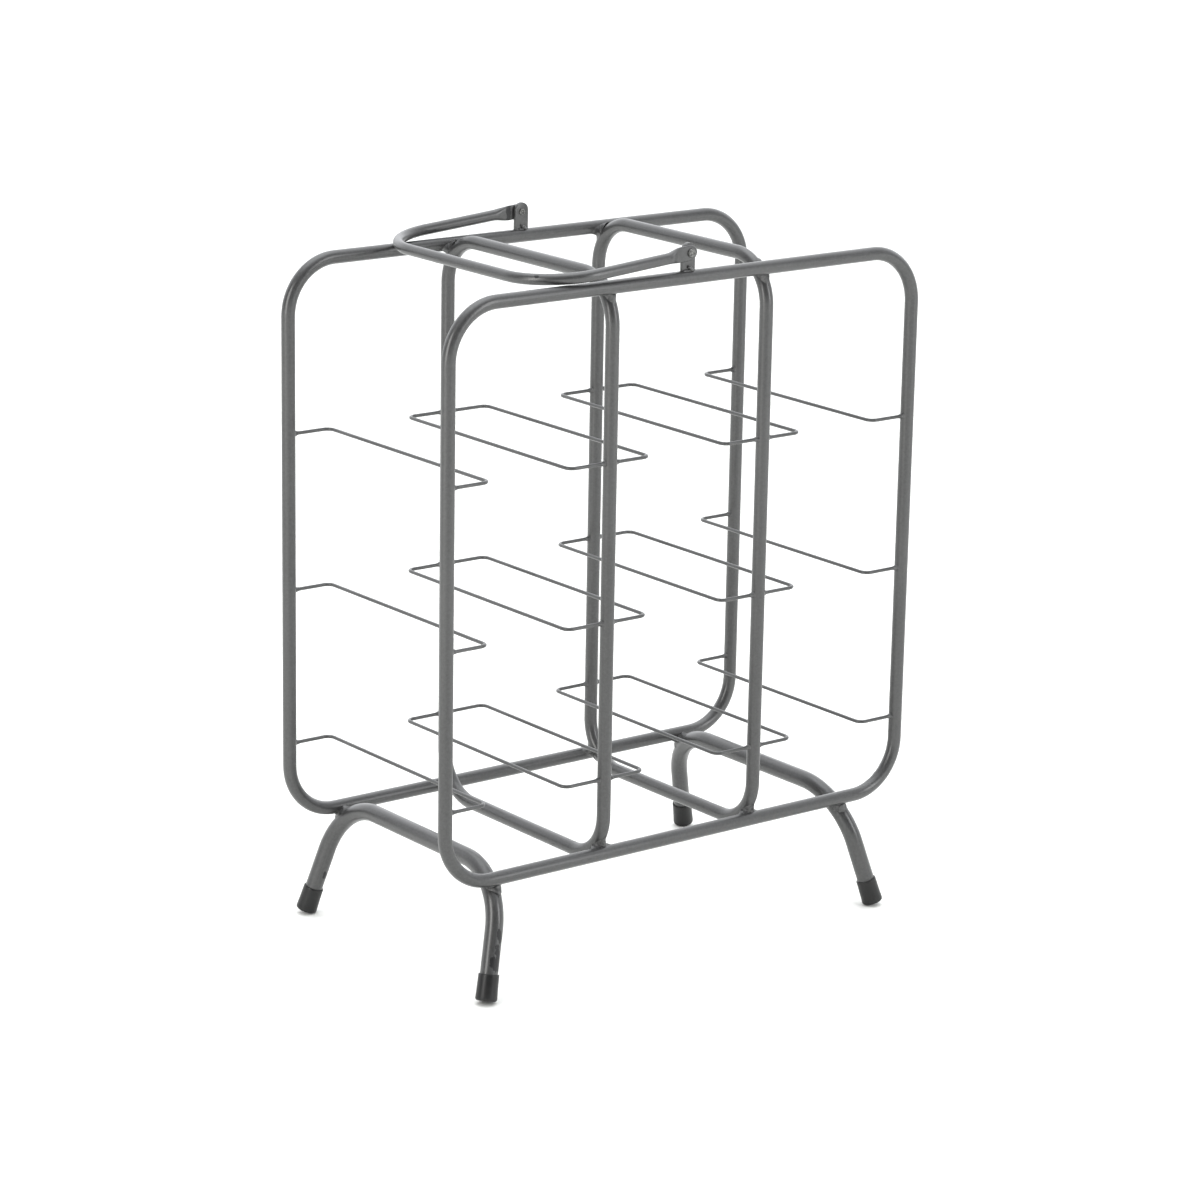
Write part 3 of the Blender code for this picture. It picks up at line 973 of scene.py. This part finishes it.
def sky_ramp(tree, height, stops):
    """Returns the room's colour by height, each stop an (upward part of the ray, tone) pair."""
    ramp = tree.nodes.new("ShaderNodeValToRGB")
    tree.links.new(height, ramp.inputs["Fac"])
    ramp.color_ramp.elements[0].position = stops[0][0]
    ramp.color_ramp.elements[1].position = stops[-1][0]
    for position, _ in stops[1:-1]:
        ramp.color_ramp.elements.new(position)
    for element, (_, value) in zip(ramp.color_ramp.elements, stops):
        element.color = (value * 0.96, value * 0.975, value, 1.0)
    return ramp.outputs["Color"]


def build_room():
    """A studio: bright beyond the rack and overhead, dim on the near side, white at the floor."""
    world = bpy.data.worlds.new("studio")
    world.use_nodes = True
    tree = world.node_tree
    coords = tree.nodes.new("ShaderNodeTexCoord").outputs["Generated"]
    parts = tree.nodes.new("ShaderNodeSeparateXYZ")
    tree.links.new(coords, parts.inputs["Vector"])
    height = parts.outputs["Z"]
    near = sky_ramp(tree, height, ((0.0, 1.2), (0.03, 1.2), (0.07, 0.25), (0.25, 0.12),
                                   (0.60, 0.16), (0.80, 0.70), (0.92, 1.60), (1.0, 2.10)))
    far = sky_ramp(tree, height, ((0.0, 1.2), (0.12, 1.5), (0.28, 2.6), (0.45, 1.9),
                                  (0.62, 1.9), (0.85, 2.1), (1.0, 2.1)))
    side = combine(tree, "MULTIPLY", parts.outputs["X"], 0.613)
    ahead = combine(tree, "ADD", side, combine(tree, "MULTIPLY", parts.outputs["Y"], 0.790))
    colour = mix_colours(tree, remap(tree, ahead, -0.25, 0.55, 0.0, 1.0), near, far)
    tree.links.new(colour, tree.nodes["Background"].inputs["Color"])
    bpy.context.scene.world = world


def build_lights():
    """The room, a tall panel on either side of the camera, and a broad soft light overhead."""
    build_room()
    centre = (0, 0, 0.25)
    area_light("left_panel", (-2.4, -0.4, 1.1), centre, 0.7, 1.8, 30, (1.0, 0.99, 0.97))
    area_light("right_panel", (1.2, -2.6, 1.3), centre, 0.7, 1.8, 30, (0.98, 0.99, 1.0))
    data = bpy.data.lights.new("overhead", "SUN")
    data.energy = 0.8
    data.angle = math.radians(50)
    data.color = (0.95, 0.98, 1.0)
    light = bpy.data.objects.new("overhead", data)
    light.rotation_euler = (math.radians(-10), math.radians(6), 0)
    bpy.context.scene.collection.objects.link(light)


def build_camera():
    """The camera stands front-left of the rack and looks slightly down, with a small roll."""
    azimuth = math.radians(-37.79)
    elevation = math.radians(15.36)
    roll = math.radians(1.04)
    level = Vector((math.cos(azimuth), math.sin(azimuth), 0))
    forward = Vector((-math.sin(azimuth) * math.cos(elevation),
                      math.cos(azimuth) * math.cos(elevation), -math.sin(elevation)))
    upward = level.cross(forward)
    right = level * math.cos(roll) + upward * math.sin(roll)
    up = right.cross(forward)
    distance = 2.967
    data = bpy.data.cameras.new("camera")
    data.sensor_width = 36.0
    data.lens = 117.0
    camera = bpy.data.objects.new("camera", data)
    low, high = cad_box
    aim = (low + high) / 2 + Vector((0.025, 0.032, -0.0325))
    turn = Matrix((right, up, -forward)).transposed()
    camera.matrix_world = Matrix.Translation(aim - forward * distance) @ turn.to_4x4()
    bpy.context.scene.collection.objects.link(camera)
    bpy.context.scene.camera = camera


# ---- everything -----------------------------------------------------------------------------
build_frames()
build_wires(paint("wire_paint"))
build_legs()
build_handle()
build_pivots()
build_welds()
build_floor()
build_lights()
build_camera()
bpy.context.scene.view_settings.view_transform = "Standard"

bpy.context.view_layer.update()
